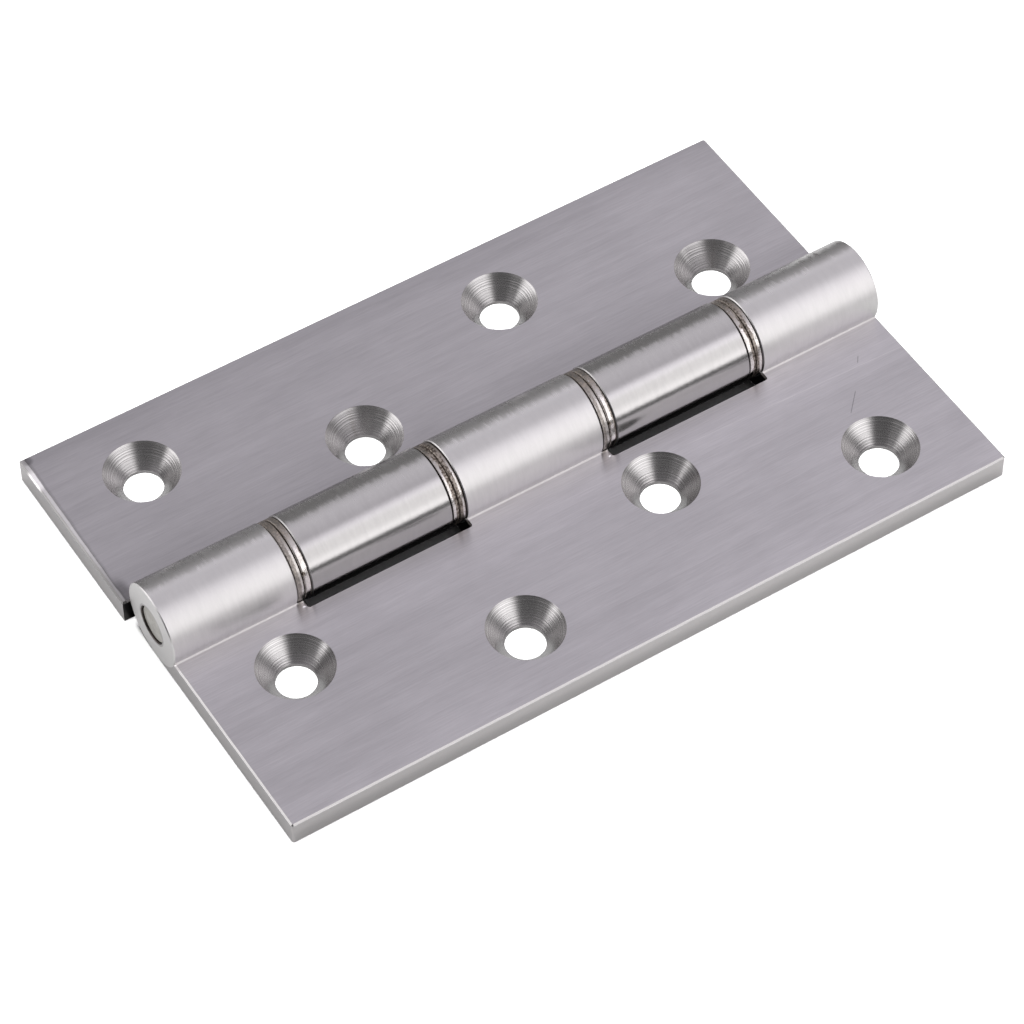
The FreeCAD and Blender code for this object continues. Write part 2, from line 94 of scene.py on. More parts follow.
class Graph:
    """Short way to write a node tree: every call adds one node and returns its output."""

    def __init__(self, tree):
        self.tree = tree
        self.tree.nodes.clear()

    def node(self, kind, **settings):
        node = self.tree.nodes.new(kind)
        for name, value in settings.items():
            setattr(node, name, value)
        return node

    def feed(self, socket, value):
        if isinstance(value, bpy.types.NodeSocket):
            self.tree.links.new(value, socket)
        elif value is not None:
            socket.default_value = value

    def math(self, operation, *values, clamp=False):
        node = self.node("ShaderNodeMath", operation=operation, use_clamp=clamp)
        for socket, value in zip(node.inputs, values):
            self.feed(socket, value)
        return node.outputs[0]

    def times(self, first, *others):
        """Product of two or more numbers."""
        for other in others:
            first = self.math("MULTIPLY", first, other)
        return first

    def vector(self, operation, first, second=None, scale=None):
        node = self.node("ShaderNodeVectorMath", operation=operation)
        self.feed(node.inputs[0], first)
        self.feed(node.inputs[1], second)
        if scale is not None:
            self.feed(node.inputs["Scale"], scale)
        return node.outputs["Value" if operation in ("LENGTH", "DOT_PRODUCT") else "Vector"]

    def split(self, vector):
        node = self.node("ShaderNodeSeparateXYZ")
        self.feed(node.inputs[0], vector)
        return node.outputs

    def join(self, x, y, z):
        node = self.node("ShaderNodeCombineXYZ")
        for socket, value in zip(node.inputs, (x, y, z)):
            self.feed(socket, value)
        return node.outputs[0]

    def soft_step(self, value, low, high, to_low=0.0, to_high=1.0):
        """Smooth change from to_low to to_high while value goes from low to high."""
        node = self.node("ShaderNodeMapRange", interpolation_type="SMOOTHSTEP")
        for name, number in (("Value", value), ("From Min", low), ("From Max", high),
                             ("To Min", to_low), ("To Max", to_high)):
            self.feed(node.inputs[name], number)
        return node.outputs[0]

    def span(self, value, low, high, blur):
        """One between low and high, nought outside, with soft ends."""
        rise = self.soft_step(value, low - blur, low + blur)
        fall = self.soft_step(value, high - blur, high + blur, 1.0, 0.0)
        return self.times(rise, fall)

    def noise(self, place, stretch, scale=1.0, detail=2.0, rough=0.5, shift=(0, 0, 0)):
        """Noise between nought and one; stretch is how many lumps fit in a millimetre each way."""
        mapping = self.node("ShaderNodeMapping")
        self.feed(mapping.inputs["Vector"], place)
        mapping.inputs["Scale"].default_value = stretch
        mapping.inputs["Location"].default_value = shift
        node = self.node("ShaderNodeTexNoise")
        self.feed(node.inputs["Vector"], mapping.outputs[0])
        node.inputs["Scale"].default_value = scale
        node.inputs["Detail"].default_value = detail
        node.inputs["Roughness"].default_value = rough
        return node.outputs["Fac"]

    def mix_node(self, data_type, socket_type, factor, first, second):
        node = self.node("ShaderNodeMix", data_type=data_type)
        self.feed(node.inputs["Factor"], factor)
        sockets = [item for item in node.inputs if item.type == socket_type and item.name in ("A", "B")]
        for socket, value in zip(sockets, (first, second)):
            self.feed(socket, value)
        return [item for item in node.outputs if item.type == socket_type][0]

    def mix(self, factor, first, second):
        """Colour between first and second."""
        return self.mix_node("RGBA", "RGBA", factor, first, second)

    def blend(self, factor, first, second):
        """Number between first and second."""
        return self.mix_node("FLOAT", "VALUE", factor, first, second)

    def blend_vectors(self, factor, first, second):
        return self.mix_node("VECTOR", "VECTOR", factor, first, second)

    def place(self):
        """Point of the surface in millimetres, in the part's own frame."""
        node = self.node("ShaderNodeTexCoord")
        return self.vector("SCALE", node.outputs["Object"], scale=1 / MM)

    def turn(self, vector, source, target, kind):
        node = self.node("ShaderNodeVectorTransform", vector_type=kind,
                         convert_from=source, convert_to=target)
        self.feed(node.inputs[0], vector)
        return node.outputs[0]

    def normal(self):
        """Which way the surface faces, in the part's own frame."""
        node = self.node("ShaderNodeNewGeometry")
        return self.turn(node.outputs["Normal"], "WORLD", "OBJECT", "NORMAL")

    def bump(self, height, distance, strength=1.0, normal=None):
        node = self.node("ShaderNodeBump")
        self.feed(node.inputs["Height"], height)
        self.feed(node.inputs["Normal"], normal)
        node.inputs["Distance"].default_value = distance * MM
        node.inputs["Strength"].default_value = strength
        return node.outputs[0]

    def metal(self, colour, roughness, normal, anisotropy=0.0, tangent=None):
        shader = self.node("ShaderNodeBsdfPrincipled")
        self.feed(shader.inputs["Base Color"], colour)
        self.feed(shader.inputs["Roughness"], roughness)
        self.feed(shader.inputs["Normal"], normal)
        shader.inputs["Metallic"].default_value = 1.0
        shader.inputs["Anisotropic"].default_value = anisotropy
        self.feed(shader.inputs["Tangent"], tangent)
        output = self.node("ShaderNodeOutputMaterial")
        self.tree.links.new(shader.outputs[0], output.inputs["Surface"])


def new_material(name):
    material = bpy.data.materials.new(name)
    material.use_nodes = True
    return material, Graph(material.node_tree)


def paint(node, material):
    """Gives a CAD node its material."""
    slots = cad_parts[node].material_slots
    for item in slots:
        item.material = material
    if not slots:
        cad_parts[node].data.materials.append(material)


FACE_COLOUR = (0.500, 0.484, 0.504, 1)
SIDE_COLOUR = (0.500, 0.482, 0.484, 1)
SINK_COLOUR = (0.620, 0.607, 0.607, 1)
# Near black: painted shade on the slot walls and at the back leaf's left end, and the colour of scratches.
SHADE_AND_SCRATCH_COLOUR = (0.056, 0.053, 0.055, 1)
BORE_COLOUR = (0.090, 0.078, 0.074, 1)
# Near white: painted highlight along the crease and on the burrs, and the colour of the light line on the
# front plate.
CREASE_COLOUR = (0.860, 0.843, 0.843, 1)
# Dark brown: dirt on the pin, and painted shade along the washers' edges.
DIRT_AND_SHADE_COLOUR = (0.070, 0.055, 0.045, 1)

PLATE_ROUGHNESS = 0.34
SINK_ROUGHNESS = 0.26
SIDE_ROUGHNESS = 0.42
ANISOTROPY = 0.5
SPECK_DEPTH = 0.004
# How dark and how light the lines of the grain, the streaks round a knuckle and the rings in a
# countersink are, and how far the grain and the rings lean the surface. The rings lie about
# RING_STEP apart in depth, and RING_EVENNESS is how much of them is even.
GRAIN_SHADES = (0.93, 1.07)
STREAK_SHADES = (0.96, 1.03)
RING_SHADES = (0.72, 1.16)
GRAIN_LEAN = 0.04
RING_LEAN = 0.50
RING_STEP = 0.27
RING_EVENNESS = 0.035
# The top of the long sides leans up by this, as if it was rubbed.
SIDE_LEAN = 0.38
# Over these y a knuckle's finish changes from the side that was polished to the other.
FINISH_CHANGE = (-2.6, 0.6)
# How much smoother and rougher the streaks are on a knuckle's far side, and what share of that is
# left everywhere else.
UNEVENNESS = (-0.04, 0.06)
EVEN_SHARE = 0.15
# The painted highlight where a knuckle meets the plate fades out from the first distance to the second.
CREASE_WIDTH = (0.10, 0.26)

# What sets the two leaves apart: painted light and shade on the plate from the barrel to the far edge
# and from the left end to the right, and how the knuckles were finished: their roughness on the front
# and on the far side, how ragged the streaks are there, and painted shade and light on the far side,
# the crown and the low part of the front; and painted light that makes the long side lighter right of
# the middle.
LEAVES = {
    "front_leaf": {"seed": 1.7, "near_barrel": 1.21, "middle": 1.07, "far_edge": 1.11,
                   "left": 0.97, "right": 1.06,
                   "knuckle_colour": (0.740, 0.726, 0.724, 1), "knuckle_roughness": 0.40,
                   "far_roughness": 0.28, "raggedness": 0.48, "far_shade": 0.86, "crown": 0.87,
                   "low_front": 1.0, "long_side": 1.17},
    "back_leaf": {"seed": 9.2, "near_barrel": 0.86, "middle": 1.01, "far_edge": 0.90,
                  "left": 0.955, "right": 1.05,
                  "knuckle_colour": (0.540, 0.528, 0.525, 1), "knuckle_roughness": 0.22,
                  "far_roughness": 0.26, "raggedness": 0.38, "far_shade": 1.0, "crown": 1.07,
                  "low_front": 0.80, "long_side": 1.0},
}
# Left end of the back leaf: width of the filed slope next to the barrel and at the far corner, how
# far it leans, how light it is (its bevel painted darker as shade), and where a painted glint, the
# knocked corner with painted shade and a patch of painted shade lie. The corner and the patch fade
# from the first distance to the second.
WORN_END = {"near_barrel": 0.66, "far_corner": 0.82, "waviness": 0.30, "slope": 0.92, "dulled": 0.95,
            "glint_brightness": 1.45, "edge": 0.50, "glint": (27.0, 30.0),
            "corner": (-50.5, 31.8), "corner_fades": (0.35, 0.95),
            "dark_patch": (-50.4, 7.6), "patch_fades": (0.5, 2.2)}
LIGHT_LINE = {"start": 5.0, "offset": 8.90, "slant": 0.040, "width": 0.09, "strength": 0.30}
SCRATCHES = (((41.94, -13.87), (39.42, -16.46)), ((45.60, -9.30), (44.90, -10.20)))
SCRATCH_WIDTH = 0.07
SCRATCH_STRENGTH = 0.45
# Small raised burrs on the front plate, at the corners of its slots, each with a painted highlight.
BURRS = ((-33.28, -5.98), (10.36, -6.12))
BURR_RADIUS = 0.15
BURR_LEAN = 0.55


class Surface:
    """Where a point of a leaf lies: on a knuckle, a face, a side, in a countersink or in a slot. Small
    lengths added to a size are slack; bounds on nx, ny and nz tell which way the surface faces."""

    def __init__(self, graph):
        self.place = graph.place()
        self.x, self.y, self.z = graph.split(self.place)
        self.normal = graph.normal()
        self.nx, self.ny, self.nz = graph.split(self.normal)
        self.reach = graph.math("ABSOLUTE", self.y)
        rise = graph.math("SUBTRACT", self.z, BARREL_RADIUS)
        self.from_axis = graph.vector("LENGTH", graph.join(0.0, self.y, rise))
        end_on = graph.math("GREATER_THAN", graph.math("ABSOLUTE", self.nx), 0.5)
        on_barrel = graph.math("LESS_THAN", self.from_axis, BARREL_RADIUS + 0.05)
        outside_bore = graph.math("GREATER_THAN", self.from_axis, BORE_RADIUS + 0.35)
        self.knuckle = graph.times(on_barrel, graph.math("SUBTRACT", 1.0, end_on), outside_bore)
        self.barrel_end = graph.times(on_barrel, end_on, outside_bore)
        sunk = graph.math("LESS_THAN", graph.math("ABSOLUTE", self.nx), 0.95)
        self.bore = graph.times(sunk, graph.math("SUBTRACT", 1.0, outside_bore))
        on_plate = graph.math("GREATER_THAN", self.reach, PLATE_START)
        sloping = graph.span(self.nz, 0.4, 0.9, 0.01)
        below_face = graph.math("LESS_THAN", self.z, LEAF_THICKNESS - 0.02)
        self.sink = graph.times(on_plate, sloping, below_face)
        self.face = graph.math("GREATER_THAN", self.nz, 0.9)
        self.underside = graph.math("LESS_THAN", self.nz, -0.9)
        upright = graph.math("LESS_THAN", graph.math("ABSOLUTE", self.nz), 0.3)
        in_slot = graph.math("LESS_THAN", self.reach, PLATE_START + 0.15)
        off_barrel = graph.math("SUBTRACT", 1.0, on_barrel)
        inside_ends = graph.math("LESS_THAN", graph.math("ABSOLUTE", self.x), END_FACES)
        crosswise = graph.math("GREATER_THAN", graph.math("ABSOLUTE", self.ny), 0.7)
        wall = graph.times(upright, in_slot, off_barrel, graph.math("MAXIMUM", inside_ends, crosswise))
        self.hollow = graph.math("MAXIMUM", wall, self.bore)
        far_side = graph.math("GREATER_THAN", self.reach, LEAF_WIDTH - 0.1)
        self.long_side = graph.times(upright, far_side)


def even_sinks(graph, surface, node):
    """Normal of the surface, in countersinks drawn evenly round the middle of the nearest screw hole."""
    side = 1.0 if node == "back_leaf" else -1.0
    x, y, _ = graph.split(graph.vector("SCALE", surface.place, scale=side))
    number = graph.math("ROUND", graph.math("DIVIDE", graph.math("SUBTRACT", x, FIRST_HOLE), HOLE_STEP))
    row = graph.math("ABSOLUTE", graph.math("MODULO", number, len(HOLE_ROWS)))
    middle_x = graph.math("ADD", graph.times(number, HOLE_STEP), FIRST_HOLE)
    inward = graph.join(graph.math("SUBTRACT", middle_x, x),
                        graph.math("SUBTRACT", graph.blend(row, *HOLE_ROWS), y), 0.0)
    in_hole = graph.math("LESS_THAN", graph.vector("LENGTH", inward), SINK_RADIUS + 0.2)
    inward = graph.vector("NORMALIZE", graph.vector("SCALE", inward, scale=side))
    leaning = graph.vector("ADD", graph.vector("SCALE", inward, scale=math.cos(SINK_SLOPE)),
                           (0.0, 0.0, math.sin(SINK_SLOPE)))
    return graph.blend_vectors(graph.times(surface.sink, in_hole), surface.normal, leaning)


def uphill(graph, normal):
    """The way along the surface that climbs most."""
    level = graph.vector("CROSS_PRODUCT", (0.0, 0.0, 1.0), normal)
    return graph.vector("CROSS_PRODUCT", normal, level)


def sway(graph, normal, direction, amount):
    """Leans the surface's normal by amount towards direction."""
    return graph.vector("ADD", normal, graph.vector("SCALE", direction, scale=amount))


def centred(graph, noise, amount):
    """Noise moved to lie round nought and made as strong as amount."""
    return graph.times(graph.math("SUBTRACT", noise, 0.5), amount)


def line_mask(graph, surface, start, end, width):
    """One along a thin straight mark on the plate's face, from start to end."""
    (x0, y0), (x1, y1) = start, end
    length = math.hypot(x1 - x0, y1 - y0)
    along = Vector(((x1 - x0) / length, (y1 - y0) / length, 0))
    across = Vector((-along.y, along.x, 0))
    offset = graph.vector("SUBTRACT", surface.place, (x0, y0, LEAF_THICKNESS))
    sideways = graph.math("ABSOLUTE", graph.vector("DOT_PRODUCT", offset, tuple(across)))
    lengthways = graph.vector("DOT_PRODUCT", offset, tuple(along))
    thin = graph.soft_step(sideways, width / 2, width, 1.0, 0.0)
    return graph.times(thin, graph.span(lengthways, 0.0, length, 0.2))


def plate_painted_light(graph, surface, leaf):
    """Painted light and shade on the plate here, from the barrel outwards and from left to right."""
    tone = graph.soft_step(surface.reach, PLATE_START, 15.0, leaf["near_barrel"], leaf["middle"])
    outer = graph.soft_step(surface.reach, 27.0, LEAF_WIDTH, 1.0, leaf["far_edge"] / leaf["middle"])
    sideways = graph.soft_step(surface.x, LEFT_END, -LEFT_END, leaf["left"], leaf["right"])
    return graph.times(tone, outer, sideways)


def leaf_marks(graph, surface, seed):
    """Grain of the plate, turned streaks of the knuckles and rings of the countersinks."""
    place = surface.place
    lines = graph.noise(place, (0.22, 5.0, 5.0), detail=4.0, rough=0.7, shift=(seed, 0, 0))
    streaks = graph.noise(place, (1.7, 0.34, 0.34), detail=4.0, rough=0.68, shift=(seed, seed, 0))
    wobble = graph.times(graph.noise(place, (0.3, 0.3, 0.3), shift=(0, seed, 0)), 0.2)
    depth = graph.math("ADD", surface.z, wobble)
    rings = graph.noise(graph.join(0.0, 0.0, depth), (1.0, 1.0, 8.0), detail=3.0, rough=0.7,
                        shift=(0, 0, seed))
    turns = graph.math("SINE", graph.times(depth, 2 * math.pi / RING_STEP))
    rings = graph.math("ADD", rings, graph.times(turns, RING_EVENNESS))
    return lines, streaks, rings


def leaf_colour(graph, surface, leaf, lines, streaks, rings):
    place = surface.place
    broad = graph.noise(place, (0.035, 0.8, 0.8), detail=3.0, rough=0.6, shift=(0, leaf["seed"], 0))
    clouds = graph.noise(place, (0.10, 0.10, 0.10), detail=3.0, shift=(leaf["seed"], 3.0, 7.0))
    grain_shade = graph.times(graph.soft_step(broad, 0.3, 0.7, 0.96, 1.04),
                              graph.soft_step(lines, 0.25, 0.75, *GRAIN_SHADES),
                              graph.soft_step(clouds, 0.3, 0.7, 0.97, 1.03))
    shade = graph.blend(surface.underside, 1.0, grain_shade)
    # The face: grain times the painted light and shade across the plate.
    face_shade = graph.times(grain_shade, plate_painted_light(graph, surface, leaf))
    shade = graph.blend(surface.face, shade, face_shade)
    # Knuckles: turned streaks, with painted shade and light on the crown, on the low part of the front and
    # on the far side.
    crown = graph.blend(graph.span(surface.y, -2.0, 0.0, 0.6), 1.0, leaf["crown"])
    turned = graph.times(crown, graph.soft_step(streaks, 0.25, 0.75, *STREAK_SHADES),
                         graph.soft_step(surface.y, -5.3, -4.9, leaf["low_front"], 1.0),
                         graph.soft_step(surface.y, 1.3, 2.6, 1.0, leaf["far_shade"]))
    shade = graph.blend(surface.knuckle, shade, turned)
    shade = graph.blend(surface.sink, shade, graph.soft_step(rings, 0.37, 0.63, *RING_SHADES))
    # Painted light: the long side grows lighter from the left end towards the middle.
    side_shade = graph.soft_step(surface.x, LEFT_END, 5.0, 1.0, leaf["long_side"])
    shade = graph.blend(surface.long_side, shade, side_shade)
    colour = graph.mix(surface.face, SIDE_COLOUR, FACE_COLOUR)
    barrel = graph.math("MAXIMUM", surface.knuckle, surface.barrel_end)
    colour = graph.mix(barrel, colour, leaf["knuckle_colour"])
    colour = graph.mix(surface.sink, colour, SINK_COLOUR)
    # Painted shade: the slot walls are painted near black.
    colour = graph.mix(surface.hollow, graph.vector("SCALE", colour, scale=shade), SHADE_AND_SCRATCH_COLOUR)
    return graph.mix(surface.bore, colour, BORE_COLOUR)


def crease_highlight(graph, surface):
    """Painted highlight: a thin bright line where a knuckle meets the plate's face."""
    crease = math.sqrt(BARREL_RADIUS ** 2 - (BARREL_RADIUS - LEAF_THICKNESS) ** 2) + 0.06
    aside = graph.math("SUBTRACT", surface.reach, crease)
    above = graph.math("SUBTRACT", surface.z, LEAF_THICKNESS)
    away = graph.vector("LENGTH", graph.join(aside, above, 0.0))
    return graph.soft_step(away, *CREASE_WIDTH, 1.0, 0.0)


def leaf_normal(graph, surface, leaf, lines, streaks, rings):
    normal = surface.normal
    around = graph.vector("CROSS_PRODUCT", (-1.0, 0.0, 0.0), normal)
    raggedness = graph.soft_step(surface.y, -1.5, 2.0, 0.02, leaf["raggedness"])
    ragged = graph.times(centred(graph, streaks, raggedness), surface.knuckle)
    normal = sway(graph, normal, around, ragged)
    flat = graph.math("MAXIMUM", surface.face, surface.underside)
    grain = graph.times(centred(graph, lines, GRAIN_LEAN), flat)
    normal = sway(graph, normal, (0.0, 1.0, 0.0), grain)
    steps = graph.times(centred(graph, rings, RING_LEAN), surface.sink)
    normal = sway(graph, normal, uphill(graph, surface.normal), steps)
    top_heavy = graph.soft_step(surface.z, 1.2, LEAF_THICKNESS, 0.0, SIDE_LEAN)
    return sway(graph, normal, (0.0, 0.0, 1.0), graph.times(top_heavy, surface.long_side))


def worn_end(graph, surface, colour, normal):
    """Hand filed slope along the left end of the back leaf, wider towards its far corner, with a painted
    glint, and painted shade on its bevel, along its inner edge, in the knocked corner and in a patch
    beside the barrel.
    """
    wave = graph.noise(surface.place, (0.0, 0.35, 0.0), detail=3.0, rough=0.6, shift=(0, 5.1, 0))
    width = graph.soft_step(surface.reach, 8.0, 31.0, WORN_END["near_barrel"], WORN_END["far_corner"])
    width = graph.math("ADD", width, centred(graph, wave, WORN_END["waviness"]))
    # This is 0 at the leaf's end and 1 where the slope stops.
    inward = graph.math("DIVIDE", graph.math("SUBTRACT", surface.x, LEFT_END), width)
    lean = graph.soft_step(inward, 0.75, 1.05, WORN_END["slope"], 0.0)
    normal = sway(graph, normal, (-1.0, 0.0, 0.0), graph.times(lean, surface.face))
    on_slope = graph.times(graph.math("LESS_THAN", inward, 0.95),
                           graph.math("GREATER_THAN", surface.nz, 0.5))
    # Painted highlight: a glint on part of the slope.
    glint = graph.span(surface.reach, *WORN_END["glint"], 0.6)
    fading = graph.soft_step(surface.reach, 8.0, 18.0, 0.62, 1.0)
    # The slope's bevel is painted darker as shade, and the slope's colour fades towards the barrel.
    level = graph.times(fading, graph.blend(surface.face, WORN_END["edge"], WORN_END["dulled"]))
    level = graph.blend(glint, level, WORN_END["glint_brightness"])
    colour = graph.mix(on_slope, colour, graph.vector("SCALE", colour, scale=level))
    # Painted shade: a faint dark line on the face just inside the slope.
    edge = graph.times(graph.span(inward, 1.0, 1.25, 0.12), surface.face, 0.2)
    colour = graph.mix(edge, colour, SHADE_AND_SCRATCH_COLOUR)
    # Painted shade in the knocked corner.
    corner = graph.vector("SUBTRACT", surface.place, (*WORN_END["corner"], LEAF_THICKNESS))
    corner = graph.vector("LENGTH", corner)
    knocked_corner_shade = graph.soft_step(corner, *WORN_END["corner_fades"], 0.5, 0.0)
    knocked_corner_shade = graph.times(knocked_corner_shade, surface.face)
    colour = graph.mix(knocked_corner_shade, colour, SHADE_AND_SCRATCH_COLOUR)
    # Painted shade: a dark patch on the face beside the barrel.
    patch = graph.vector("SUBTRACT", surface.place, (*WORN_END["dark_patch"], LEAF_THICKNESS))
    patch = graph.vector("LENGTH", graph.vector("MULTIPLY", patch, (1.5, 0.7, 1.0)))
    dark = graph.soft_step(patch, *WORN_END["patch_fades"], 0.55, 0.0)
    dark = graph.times(dark, surface.face, graph.math("SUBTRACT", 1.0, on_slope))
    return graph.mix(dark, colour, SHADE_AND_SCRATCH_COLOUR), normal


def plate_scars(graph, surface, colour):
    """Light line beside the barrel and a few fine scratches on the front leaf."""
    path = graph.math("ADD", surface.y, graph.times(surface.x, LIGHT_LINE["slant"]))
    aside = graph.math("ABSOLUTE", graph.math("ADD", path, LIGHT_LINE["offset"]))
    broken = graph.noise(surface.place, (0.5, 0.1, 0.1), detail=3.0)
    width = LIGHT_LINE["width"]
    light = graph.times(graph.soft_step(aside, width / 2, width, LIGHT_LINE["strength"], 0.0),
                        graph.soft_step(surface.x, LIGHT_LINE["start"], 20.0),
                        graph.soft_step(broken, 0.3, 0.6, 0.3, 1.0), surface.face)
    colour = graph.mix(light, colour, CREASE_COLOUR)
    for start, end in SCRATCHES:
        mark = graph.times(line_mask(graph, surface, start, end, SCRATCH_WIDTH), surface.face)
        colour = graph.mix(graph.times(mark, SCRATCH_STRENGTH), colour, SHADE_AND_SCRATCH_COLOUR)
    return colour


def add_burrs_with_glints(graph, surface, colour, normal):
    """Specks of metal pushed up at the corners of the slots, leaning towards the front, each painted light
    as a highlight.
    """
    ragged = graph.noise(surface.place, (4.0, 4.0, 4.0), detail=2.0)
    for x, y in BURRS:
        away = graph.vector("SUBTRACT", surface.place, (x, y, LEAF_THICKNESS))
        away = graph.vector("LENGTH", graph.vector("MULTIPLY", away, (0.8, 1.2, 1.0)))
        away = graph.math("ADD", away, centred(graph, ragged, 0.3))
        burr = graph.soft_step(away, BURR_RADIUS - 0.06, BURR_RADIUS + 0.06, 1.0, 0.0)
        burr = graph.times(burr, surface.face)
        # Painted highlight on the burr.
        colour = graph.mix(burr, colour, CREASE_COLOUR)
        normal = sway(graph, normal, (0.0, -1.0, 0.0), graph.times(burr, BURR_LEAN))
    return colour, normal


def leaf_material(node):
    """Satin plating: grain along the leaf, turned marks round the knuckles and in the countersinks."""
    leaf = LEAVES[node]
    material, graph = new_material(node + "_metal")
    surface = Surface(graph)
    surface.normal = even_sinks(graph, surface, node)
    lines, streaks, rings = leaf_marks(graph, surface, leaf["seed"])
    colour = leaf_colour(graph, surface, leaf, lines, streaks, rings)
    normal = leaf_normal(graph, surface, leaf, lines, streaks, rings)
    if node == "back_leaf":
        colour, normal = worn_end(graph, surface, colour, normal)
    else:
        colour = plate_scars(graph, surface, colour)
        # Painted highlight along the crease.
        colour = graph.mix(crease_highlight(graph, surface), colour, CREASE_COLOUR)
        colour, normal = add_burrs_with_glints(graph, surface, colour, normal)

    turned = graph.soft_step(surface.y, *FINISH_CHANGE, leaf["knuckle_roughness"], leaf["far_roughness"])
    roughness = graph.blend(surface.knuckle, PLATE_ROUGHNESS, turned)
    roughness = graph.blend(surface.sink, roughness, SINK_ROUGHNESS)
    roughness = graph.blend(surface.long_side, roughness, SIDE_ROUGHNESS)
    worn = graph.soft_step(surface.y, *FINISH_CHANGE, EVEN_SHARE, 1.0)
    worn = graph.blend(surface.knuckle, EVEN_SHARE, worn)
    uneven = graph.times(graph.soft_step(streaks, 0.2, 0.8, *UNEVENNESS), worn)
    roughness = graph.math("ADD", roughness, uneven)
    specks = graph.noise(surface.place, (3.0, 3.0, 3.0), detail=2.0, shift=(leaf["seed"], 0, 0))
    world_normal = graph.turn(graph.vector("NORMALIZE", normal), "OBJECT", "WORLD", "NORMAL")
    bumped = graph.bump(specks, SPECK_DEPTH, normal=world_normal)

    # The marks run along the leaf and its own knuckles, or round the pin on the knuckles of the back
    # leaf, and round the hole in countersinks.
    across_knuckle = graph.join(1.0, 0.0, 0.0)
    if node == "front_leaf":
        across_knuckle = graph.vector("CROSS_PRODUCT", (1.0, 0.0, 0.0), surface.normal)
    across = graph.blend_vectors(surface.knuckle, graph.join(0.0, 1.0, 0.0), across_knuckle)
    across = graph.blend_vectors(surface.sink, across, uphill(graph, surface.normal))
    across = graph.turn(across, "OBJECT", "WORLD", "VECTOR")
    graph.metal(colour, roughness, bumped, ANISOTROPY, across)
    return material


PIN_COLOURS = ((0.62, 0.605, 0.575, 1), (0.50, 0.485, 0.455, 1))
PIN_ROUGHNESS = (0.38, 0.55)


def pin_material():
    """Plain turned steel, its cut end a little stained and dark round the rim."""
    material, graph = new_material("pin_steel")
    surface = Surface(graph)
    stain = graph.noise(surface.place, (0.6, 0.6, 0.6), detail=4.0, rough=0.6)
    specks = graph.noise(surface.place, (2.5, 2.5, 2.5), detail=2.0)
    colour = graph.mix(graph.soft_step(stain, 0.35, 0.7), *PIN_COLOURS)
    colour = graph.mix(graph.soft_step(specks, 0.66, 0.74, 0.0, 0.6), colour, DIRT_AND_SHADE_COLOUR)
    rim = graph.soft_step(surface.from_axis, BORE_RADIUS - 0.12, BORE_RADIUS - 0.04)
    colour = graph.mix(graph.times(rim, 0.75), colour, DIRT_AND_SHADE_COLOUR)
    roughness = graph.soft_step(stain, 0.2, 0.8, *PIN_ROUGHNESS)
    graph.metal(colour, roughness, graph.bump(specks, 0.006))
    return material


WASHER_LIGHT = (0.820, 0.785, 0.765, 1)
WASHER_DULL = (0.560, 0.530, 0.500, 1)
WASHER_STAIN = (0.470, 0.415, 0.365, 1)
WASHER_DIRT = (0.100, 0.074, 0.058, 1)
# How rough a washer is where it is dull and where it is polished, and how far its rim is crowned.
WASHER_ROUGHNESS = (0.44, 0.17)
WASHER_CROWN = 0.30
# Each washer across its width, counted from 0 at its left face to 1 at its right: how polished it
# is, the band that is stained and how strongly, fine cracks in the dirt, where the painted shade along
# either edge begins, and how far its left edge is rounded over and to where.
WASHERS = {
    "washer_1a": {"polish": 0.50, "stain": (0.05, 0.62), "strength": 0.50, "cracks": 0.3,
                  "edges": (0.04, 0.97), "rounded": 0.0, "rounded_to": 0.30},
    "washer_1b": {"polish": 0.82, "stain": (0.84, 1.40), "strength": 0.80, "cracks": 0.2,
                  "edges": (-0.20, 1.00), "rounded": 0.65, "rounded_to": 0.30},
    "washer_2a": {"polish": 1.00, "stain": (0.52, 1.40), "strength": 0.95, "cracks": 0.5,
                  "edges": (0.12, 1.20), "rounded": 0.50, "rounded_to": 0.24},
    "washer_2b": {"polish": 0.85, "stain": (-0.40, 0.52), "strength": 0.90, "cracks": 0.9,
                  "edges": (-0.20, 0.78), "rounded": 0.0, "rounded_to": 0.30},
    "washer_3a": {"polish": 0.52, "stain": (0.20, 0.58), "strength": 0.50, "cracks": 0.3,
                  "edges": (0.14, 0.97), "rounded": 0.0, "rounded_to": 0.30},
    "washer_3b": {"polish": 0.95, "stain": (0.74, 1.40), "strength": 0.80, "cracks": 0.3,
                  "edges": (-0.20, 1.00), "rounded": 0.65, "rounded_to": 0.30},
    "washer_4a": {"polish": 0.95, "stain": (0.64, 1.40), "strength": 0.90, "cracks": 0.4,
                  "edges": (0.08, 1.20), "rounded": 0.50, "rounded_to": 0.24},
    "washer_4b": {"polish": 0.85, "stain": (-0.40, 0.46), "strength": 0.85, "cracks": 0.7,
                  "edges": (-0.20, 0.90), "rounded": 0.0, "rounded_to": 0.30},
}
# Brown spots: place along the pin, and angle from the top of the barrel towards the front leaf.
SPOTS = {"washer_1b": ((-32.50, 63.0),), "washer_3b": ((11.10, 64.0),), "washer_4a": ((32.30, 25.0),),
         "washer_4b": ((32.95, 60.0),)}
SPOT_RADIUS = 0.34


def spot_mask(graph, surface, along, angle, ragged):
    turn = math.radians(angle)
    centre = (along, -BARREL_RADIUS * math.sin(turn), BARREL_RADIUS * (1 + math.cos(turn)))
    away = graph.vector("LENGTH", graph.vector("SUBTRACT", surface.place, centre))
    away = graph.math("ADD", away, centred(graph, ragged, 0.4))
    return graph.soft_step(away, SPOT_RADIUS - 0.15, SPOT_RADIUS + 0.1, 1.0, 0.0)


